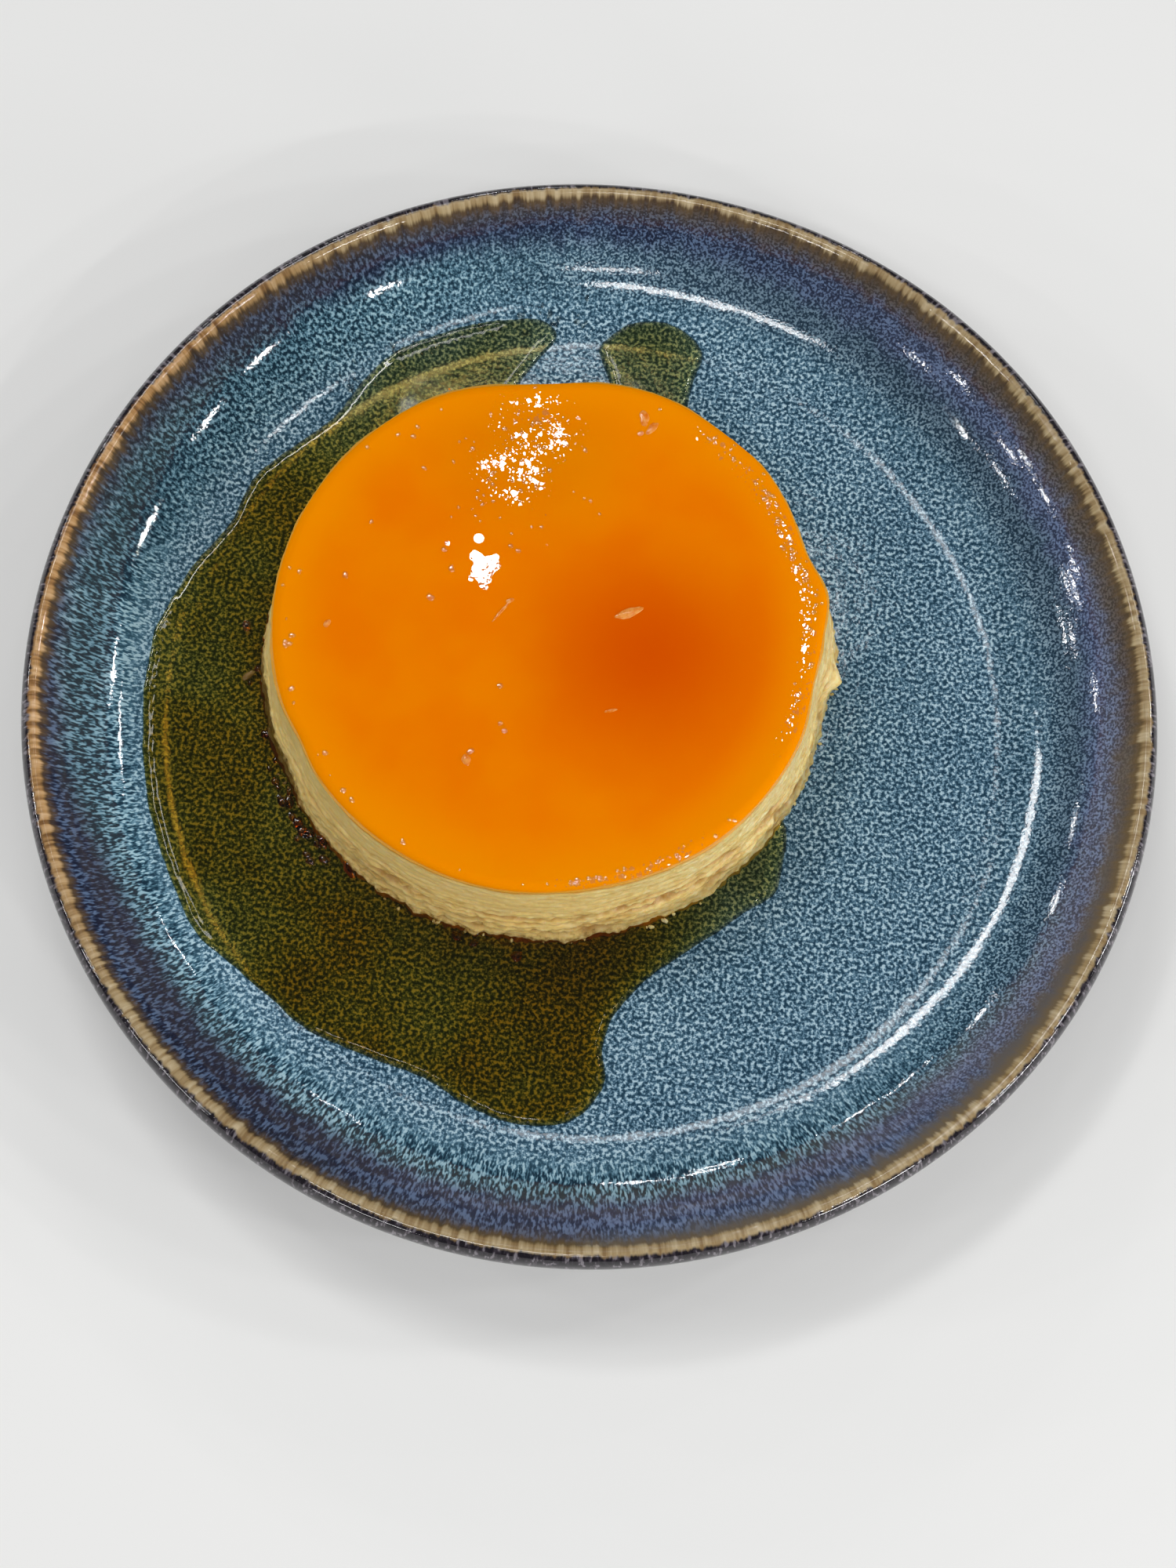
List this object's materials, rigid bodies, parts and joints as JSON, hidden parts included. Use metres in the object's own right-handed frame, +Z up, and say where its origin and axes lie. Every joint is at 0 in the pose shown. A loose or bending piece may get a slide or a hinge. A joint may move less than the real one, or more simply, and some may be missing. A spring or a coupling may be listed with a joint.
{
  "type": "creme caramel flan on a plate",
  "caption": "Round set custard with a caramel layer on top, standing in caramel sauce on a shallow glazed plate with a raised rim.",
  "frame": {"origin": "centre of the plate's foot ring, on the table", "axes": "+Z up, the plate's axis; +Y points away from the side that the flan is seen from, +X to the right"},
  "size_m": [0.2098, 0.2098, 0.0305],
  "materials": {
    "glaze": "glossy speckled blue glaze with a tan rim",
    "custard": "moist, smooth above and porous towards the foot",
    "caramel": "wet glossy amber",
    "sauce": "clear thin brown syrup, wet"
  },
  "bodies": {
    "root": {"plate": "glaze", "custard": "custard", "caramel_top": "caramel", "caramel_pool_main": "sauce", "caramel_pool_small": "sauce"}
  },
  "joints": []
}
